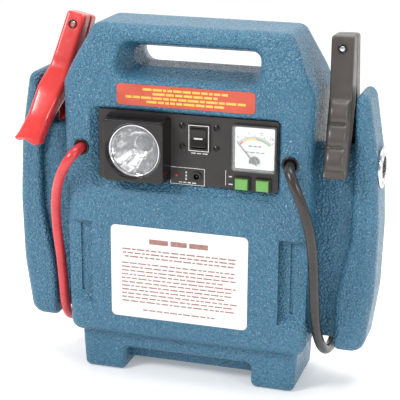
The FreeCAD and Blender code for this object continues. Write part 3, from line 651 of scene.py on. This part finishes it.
SWEEP = 42.0                   # degrees to each side of straight up
ZONE = (0.0209, 0.0225)        # inner and outer radius of the coloured band
ticks = [(0.0232, 0.0262 if n % 5 == 0 else 0.0246, a - 0.7, a + 0.7)
         for n, a in enumerate(np.linspace(-SWEEP, SWEEP, 21))]
arcs("dial_scale", [(0.0229, 0.0233, -SWEEP, SWEEP)] + ticks, "dial_ink")
arcs("dial_red_zone", [(*ZONE, -SWEEP, -31)], "led_red")
arcs("dial_green_zone", [(*ZONE, 4, SWEEP)], "button_green")
arcs("dial_yellow_zone", [(*ZONE, -31, 4)], "sticker_ink")
dial_words = np.concatenate([
    word_bars(0.0630, 0.0770, 0.2520, 0.0011, 401, True, 0.004),
    word_bars(0.0590, 0.0810, 0.2460, 0.0009, 402, True, 0.005)])
print_bars("dial_print", dial_words, dial_face, "dial_ink")


NUMERAL_RADIUS, NUMERAL_SIZE = 0.0276, 0.0042


def numeral(value, degrees):
    """A plain number standing upright above the scale, made from Blender's own font and then a mesh."""
    text = bpy.data.curves.new("numeral", "FONT")
    text.body = str(value)
    text.size = NUMERAL_SIZE
    text.align_x = "CENTER"
    text.extrude = 0.00003
    holder = bpy.data.objects.new("numeral", text)
    bpy.context.scene.collection.objects.link(holder)
    bpy.context.view_layer.update()
    flat = bpy.data.meshes.new_from_object(holder.evaluated_get(bpy.context.evaluated_depsgraph_get()))
    bpy.data.objects.remove(holder)
    count = len(flat.vertices)
    local = np.empty(3 * count)
    flat.vertices.foreach_get("co", local)
    local = local.reshape(-1, 3)
    angle = math.radians(degrees)
    place = NEEDLE_AXIS + NUMERAL_RADIUS * np.array([math.sin(angle), 0, math.cos(angle)])
    points = np.stack([place[0] + local[:, 0], dial_face - 0.00004 - local[:, 2],
                       place[2] + local[:, 1] - 0.0010], axis=-1)
    flat.vertices.foreach_set("co", points.ravel())
    flat.update()
    made = bpy.data.objects.new(f"dial_numeral_{value}", flat)
    bpy.context.scene.collection.objects.link(made)
    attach(made, "case")
    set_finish(made, "dial_ink")
    return made


numerals = [numeral(value, degrees) for value, degrees in ((0, -36), (5, -12), (10, 12), (15, 35))]
print("dial: scale of", len(ticks), "ticks and", len(numerals), "numbers")

# %% [markdown]
# ## Finishes
# Every finish is a small node network that reads Object coordinates, in metres, so a grain of one
# millimetre is a texture scale of about 1000. Most moulded plastics share one recipe: a base colour that
# varies a little, a roughness that varies a little, and a fine bump. What tells them apart is how coarse
# the grain is and how wet the surface looks.

# %% Material helpers
def begin(name):
    """A new node material and its shader."""
    material = bpy.data.materials.new(name)
    material.use_nodes = True
    tree = material.node_tree
    shader = next(node for node in tree.nodes if node.type == "BSDF_PRINCIPLED")
    return material, tree, shader


def settle(shader, **values):
    """Sets sockets by name: underscores stand for spaces."""
    for key, value in values.items():
        shader.inputs[key.replace("_", " ")].default_value = value


def noise(tree, scale, detail=2.0):
    """Noise over the object's own coordinates; returns its factor socket."""
    place = tree.nodes.new("ShaderNodeTexCoord")
    texture = tree.nodes.new("ShaderNodeTexNoise")
    texture.inputs["Scale"].default_value = scale
    texture.inputs["Detail"].default_value = detail
    tree.links.new(place.outputs["Object"], texture.inputs["Vector"])
    return texture.outputs["Fac"]


def between(tree, factor, low, high, start=0.3, end=0.7):
    """Colour ramp from one colour or value to another; returns its colour socket."""
    ramp = tree.nodes.new("ShaderNodeValToRGB")
    ramp.color_ramp.elements[0].position = start
    ramp.color_ramp.elements[1].position = end
    colours = [(v, v, v) if isinstance(v, float) else v for v in (low, high)]
    for element, colour in zip(ramp.color_ramp.elements, colours):
        element.color = (*colour, 1.0)
    tree.links.new(factor, ramp.inputs["Fac"])
    return ramp.outputs["Color"]


def mixed(tree, factor, first, second):
    """Colour socket that goes from first to second with a factor socket."""
    mix = tree.nodes.new("ShaderNodeMix")
    mix.data_type = "RGBA"
    tree.links.new(factor, mix.inputs["Factor"])
    tree.links.new(first, mix.inputs["A"])
    tree.links.new(second, mix.inputs["B"])
    return mix.outputs["Result"]


def bumped(tree, shader, height, strength, distance):
    """Bump from a height socket into the shader's normal."""
    bump = tree.nodes.new("ShaderNodeBump")
    bump.inputs["Strength"].default_value = strength
    bump.inputs["Distance"].default_value = distance
    tree.links.new(height, bump.inputs["Height"])
    tree.links.new(bump.outputs["Normal"], shader.inputs["Normal"])


def moulded(name, dark, light, roughness, spread=0.06, grain=900.0, strength=0.15, distance=0.0002,
            patch=45.0, **extra):
    """Moulded plastic: patchy colour and roughness, and a fine grain."""
    material, tree, shader = begin(name)
    cloud = noise(tree, patch, 3.0)
    tree.links.new(between(tree, cloud, dark, light), shader.inputs["Base Color"])
    tree.links.new(between(tree, noise(tree, patch * 3), roughness - spread, roughness + spread),
                   shader.inputs["Roughness"])
    bumped(tree, shader, noise(tree, grain), strength, distance)
    settle(shader, **extra)
    return material


print("material helpers ready")

# %% [markdown]
# ### Pebbled case plastic
# The case comes from a mould with a coarse pebbled surface. Each pebble is about two millimetres wide, has
# a rounded top, and catches a small highlight. Smooth Voronoi cells give the rounded tops. The same cells
# carry a paler colour on top, a painted highlight that stands in for the small glints, and a noise mixes it
# in here and there.

# %% Case plastic
def case_plastic():
    """Teal plastic with pebbles: Voronoi cells for the relief, and for paler tops that are a painted
    highlight.
    """
    material, tree, shader = begin("case_plastic")
    place = tree.nodes.new("ShaderNodeTexCoord")
    cells = tree.nodes.new("ShaderNodeTexVoronoi")
    cells.feature = "SMOOTH_F1"
    cells.inputs["Scale"].default_value = 480.0
    cells.inputs["Smoothness"].default_value = 0.6
    tree.links.new(place.outputs["Object"], cells.inputs["Vector"])
    body = between(tree, noise(tree, 14.0, 3.0), (0.040, 0.150, 0.245), (0.056, 0.190, 0.300))
    # paler colour at the middle of each cell: a painted highlight on the pebble tops
    painted_glint_tops = between(tree, cells.outputs["Distance"], (0.24, 0.43, 0.55), (0.024, 0.110, 0.188), 0.05, 0.42)
    # noise that mixes the painted highlight into the body colour here and there
    painted_glint_mask = between(tree, noise(tree, 330.0, 2.0), 0.15, 0.80, 0.42, 0.60)
    tree.links.new(mixed(tree, painted_glint_mask, body, painted_glint_tops), shader.inputs["Base Color"])
    tree.links.new(between(tree, noise(tree, 160.0), 0.22, 0.36), shader.inputs["Roughness"])
    low = tree.nodes.new("ShaderNodeMath")
    low.operation = "MULTIPLY"
    low.inputs[1].default_value = -1.0
    tree.links.new(cells.outputs["Distance"], low.inputs[0])
    bumped(tree, shader, low.outputs[0], 1.0, 0.0015)
    return material


# %% [markdown]
# ### The other finishes
# The sleeves are glossier than the case, the leads are satin rubber, the panel is a fine dark texture, and
# the metal parts are chrome, plated steel or brass. Clear parts let light straight through and only add a
# reflection, because a really refracting cover would leave the dial behind it in the dark.

# %% Finishes by slot
def metal(name, colour, roughness, grain=500.0, strength=0.03):
    """Metal with fine marks in its polish."""
    material, tree, shader = begin(name)
    settle(shader, Metallic=1.0)
    tree.links.new(between(tree, noise(tree, 120.0), colour, tuple(0.86 * c for c in colour)),
                   shader.inputs["Base Color"])
    tree.links.new(between(tree, noise(tree, grain), roughness * 0.8, roughness * 1.25),
                   shader.inputs["Roughness"])
    bumped(tree, shader, noise(tree, grain * 2), strength, 0.0001)
    return material


def clear(name, alpha, tint):
    """Clear cover: mostly see-through, with a sharp reflection and faint haze."""
    material, tree, shader = begin(name)
    settle(shader, Alpha=alpha, IOR=1.49)
    tree.links.new(between(tree, noise(tree, 60.0), tint, tuple(0.93 * c for c in tint)),
                   shader.inputs["Base Color"])
    tree.links.new(between(tree, noise(tree, 90.0), 0.02, 0.07), shader.inputs["Roughness"])
    return material


def swirled_silver():
    """Silvered dish: a distorted noise paints sweeping dark and light bands into its colour, a painted
    reflection of the room.
    """
    material, tree, shader = begin("reflector")
    settle(shader, Metallic=1.0)
    place = tree.nodes.new("ShaderNodeTexCoord")
    painted_reflection_bands = tree.nodes.new("ShaderNodeTexNoise")
    painted_reflection_bands.inputs["Scale"].default_value = 42.0
    painted_reflection_bands.inputs["Detail"].default_value = 1.5
    painted_reflection_bands.inputs["Distortion"].default_value = 3.2
    tree.links.new(place.outputs["Object"], painted_reflection_bands.inputs["Vector"])
    # dark and light sweeping bands in the base colour: a painted reflection of the room
    tree.links.new(between(tree, painted_reflection_bands.outputs["Fac"], (0.26, 0.26, 0.27), (1.0, 1.0, 1.0), 0.38, 0.52),
                   shader.inputs["Base Color"])
    tree.links.new(between(tree, painted_reflection_bands.outputs["Fac"], 0.10, 0.05), shader.inputs["Roughness"])
    bumped(tree, shader, painted_reflection_bands.outputs["Fac"], 0.25, 0.0008)
    return material


def brushed_steel():
    """Plated steel with lengthwise rolling marks: noise stretched along one direction."""
    material, tree, shader = begin("steel")
    settle(shader, Metallic=1.0)
    place = tree.nodes.new("ShaderNodeTexCoord")
    stretch = tree.nodes.new("ShaderNodeMapping")
    stretch.inputs["Scale"].default_value = (900.0, 900.0, 60.0)
    marks = tree.nodes.new("ShaderNodeTexNoise")
    marks.inputs["Scale"].default_value = 1.0
    tree.links.new(place.outputs["Object"], stretch.inputs["Vector"])
    tree.links.new(stretch.outputs["Vector"], marks.inputs["Vector"])
    tree.links.new(between(tree, marks.outputs["Fac"], (0.42, 0.42, 0.43), (0.70, 0.70, 0.72)),
                   shader.inputs["Base Color"])
    tree.links.new(between(tree, marks.outputs["Fac"], 0.22, 0.40), shader.inputs["Roughness"])
    bumped(tree, shader, marks.outputs["Fac"], 0.1, 0.0001)
    return material


finishes = {
    "case_plastic": case_plastic(),
    "panel_plastic": moulded("panel_plastic", (0.018, 0.015, 0.015), (0.027, 0.023, 0.022), 0.42,
                             grain=1400.0, strength=0.3),
    "dark_plastic": moulded("dark_plastic", (0.008, 0.007, 0.007), (0.014, 0.012, 0.011), 0.20, spread=0.04,
                            strength=0.05, Coat_Weight=0.15, Coat_Roughness=0.06,
                            Specular_IOR_Level=0.35),
    "red_plastic": moulded("red_plastic", (0.60, 0.030, 0.028), (0.68, 0.042, 0.038), 0.24, strength=0.05,
                           Coat_Weight=0.35, Coat_Roughness=0.12),
    "black_plastic": moulded("black_plastic", (0.060, 0.050, 0.045), (0.078, 0.066, 0.060), 0.34,
                             strength=0.12, Coat_Weight=0.15, Coat_Roughness=0.25),
    "lead_red": moulded("lead_red", (0.56, 0.030, 0.036), (0.66, 0.044, 0.050), 0.30, strength=0.08,
                        Coat_Weight=0.25, Coat_Roughness=0.2),
    "lead_black": moulded("lead_black", (0.014, 0.012, 0.011), (0.026, 0.021, 0.020), 0.30, strength=0.08,
                          Coat_Weight=0.25, Coat_Roughness=0.2),
    "chrome": metal("chrome", (0.86, 0.86, 0.88), 0.07),
    "steel": brushed_steel(),
    "brass": metal("brass", (0.80, 0.58, 0.26), 0.28),
    "clear": clear("clear", 0.14, (0.92, 0.95, 0.97)),
    "reflector": swirled_silver(),
    "label_white": moulded("label_white", (0.80, 0.79, 0.78), (0.86, 0.85, 0.84), 0.36, grain=500.0,
                           strength=0.03),
    "label_orange": moulded("label_orange", (0.54, 0.070, 0.040), (0.62, 0.100, 0.055), 0.32, grain=500.0,
                            strength=0.03),
    "button_green": moulded("button_green", (0.14, 0.36, 0.085), (0.18, 0.44, 0.11), 0.40),
    "led_red": moulded("led_red", (0.60, 0.02, 0.02), (0.72, 0.03, 0.03), 0.2),
    "battery_plastic": moulded("battery_plastic", (0.05, 0.05, 0.055), (0.07, 0.07, 0.075), 0.5),
    "foam": moulded("foam", (0.06, 0.06, 0.06), (0.11, 0.11, 0.11), 0.9, grain=400.0, strength=0.6,
                    distance=0.0008),
    "board": moulded("board", (0.02, 0.13, 0.05), (0.03, 0.18, 0.07), 0.4),
    "dial_white": moulded("dial_white", (0.80, 0.80, 0.78), (0.88, 0.88, 0.86), 0.5, strength=0.02),
    "needle_paint": moulded("needle_paint", (0.03, 0.03, 0.03), (0.05, 0.045, 0.04), 0.4),
    "label_ink": moulded("label_ink", (0.26, 0.12, 0.10), (0.42, 0.24, 0.21), 0.5, patch=400.0),
    "sticker_ink": moulded("sticker_ink", (0.86, 0.48, 0.05), (0.92, 0.62, 0.12), 0.4, patch=400.0),
    "white_ink": moulded("white_ink", (0.55, 0.54, 0.53), (0.80, 0.79, 0.78), 0.5, patch=400.0),
    "dial_ink": moulded("dial_ink", (0.03, 0.03, 0.03), (0.07, 0.06, 0.06), 0.5, patch=400.0),
}
blackened = moulded("blackened_steel", (0.016, 0.015, 0.015), (0.030, 0.028, 0.027), 0.22, Metallic=0.6)
print("finishes:", len(finishes))

# %% Put the finishes on
slot_of = {part["node"]: part["material_slot"] for part in frame["record"]["subparts"]}
for name, node in nodes.items():
    node.data.materials.clear()
    node.data.materials.append(blackened if name == "panel_screws" else finishes[slot_of[name]])
for made in [o for o in bpy.data.objects if o.get("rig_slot") and "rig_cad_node" not in o]:
    made.data.materials.clear()
    made.data.materials.append(finishes[made["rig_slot"]])

# %% [markdown]
# For each lead, the names of the pieces that hang on it are listed: the clamp's own pieces, its two
# sleeves and its two screw seats.

CLAMP_NODES = ("front_jaw", "rear_jaw", "front_screw", "rear_screw", "pivot_pin", "spring")
for colour, cable in leads.items():
    on_it = [f"{colour}_clamp_{part}" for part in CLAMP_NODES]
    on_it += [f"{colour}_{side}_{what}" for side in ("front", "rear") for what in ("sleeve", "screw_seat")]

# %% [markdown]
# ## Floor and light
# The pack stands on a plain white floor that gives off a little light of its own, so that it stays white
# about the feet. A key light is high on the left, a weaker one is on the right, and a soft one overhead
# runs a highlight along the top bevels. The world is white too, but dimmer on the front's side: a world
# that is bright all round would fill every shadow and leave the front flat.

# %% Floor and light
def softbox(name, place, aim, size, watts):
    """Square area light at place, turned so that its own -Z points at aim."""
    lamp = bpy.data.lights.new(name, "AREA")
    lamp.energy = watts
    lamp.size = size
    holder = bpy.data.objects.new(name, lamp)
    bpy.context.scene.collection.objects.link(holder)
    back = np.array(place, float) - np.array(aim, float)
    back /= np.linalg.norm(back)
    right = np.cross((0.0, 0.0, 1.0), back)
    right /= np.linalg.norm(right)
    matrix = np.eye(4)
    matrix[:3, :3] = np.stack([right, np.cross(back, right), back], axis=1)
    matrix[:3, 3] = place
    holder.matrix_world = Matrix(matrix.tolist())
    return holder


floor_mesh = bpy.data.meshes.new("floor")
reach = 4.0
floor_mesh.from_pydata([(-reach, -reach, 0), (reach, -reach, 0), (reach, reach, 0), (-reach, reach, 0)], [],
                       [(0, 1, 2, 3)])
floor = bpy.data.objects.new("floor", floor_mesh)
bpy.context.scene.collection.objects.link(floor)
floor.data.materials.append(moulded("floor", (0.86, 0.86, 0.86), (0.90, 0.90, 0.90), 0.8, grain=40.0,
                                    strength=0.0, patch=2.0, Emission_Color=(1.0, 1.0, 1.0, 1.0),
                                    Emission_Strength=0.22))
softbox("key", (-1.1, -1.3, 1.5), (0, 0, 0.18), 0.6, 26)
softbox("fill", (1.7, -0.9, 0.9), (0, 0, 0.18), 0.6, 9)
softbox("top", (0.2, 0.2, 1.7), (0, 0, 0.3), 0.9, 14)


def studio_world(front, behind):
    """White world that is dimmer on the panel's side, -Y, so that the lamps there shape the front."""
    world = bpy.data.worlds.new("studio")
    world.use_nodes = True
    tree = world.node_tree
    light = tree.nodes["Background"]
    light.inputs["Color"].default_value = (1.0, 1.0, 1.0, 1.0)
    place = tree.nodes.new("ShaderNodeTexCoord")
    split = tree.nodes.new("ShaderNodeSeparateXYZ")
    ramp = tree.nodes.new("ShaderNodeMapRange")
    ramp.inputs["From Min"].default_value = -0.2
    ramp.inputs["From Max"].default_value = 0.3
    ramp.inputs["To Min"].default_value = front
    ramp.inputs["To Max"].default_value = behind
    tree.links.new(place.outputs["Generated"], split.inputs["Vector"])
    tree.links.new(split.outputs["Y"], ramp.inputs["Value"])
    tree.links.new(ramp.outputs["Result"], light.inputs["Strength"])
    return world


bpy.context.scene.world = studio_world(0.5, 1.05)
bpy.context.scene.view_settings.view_transform = "Standard"
print("floor and lights ready")
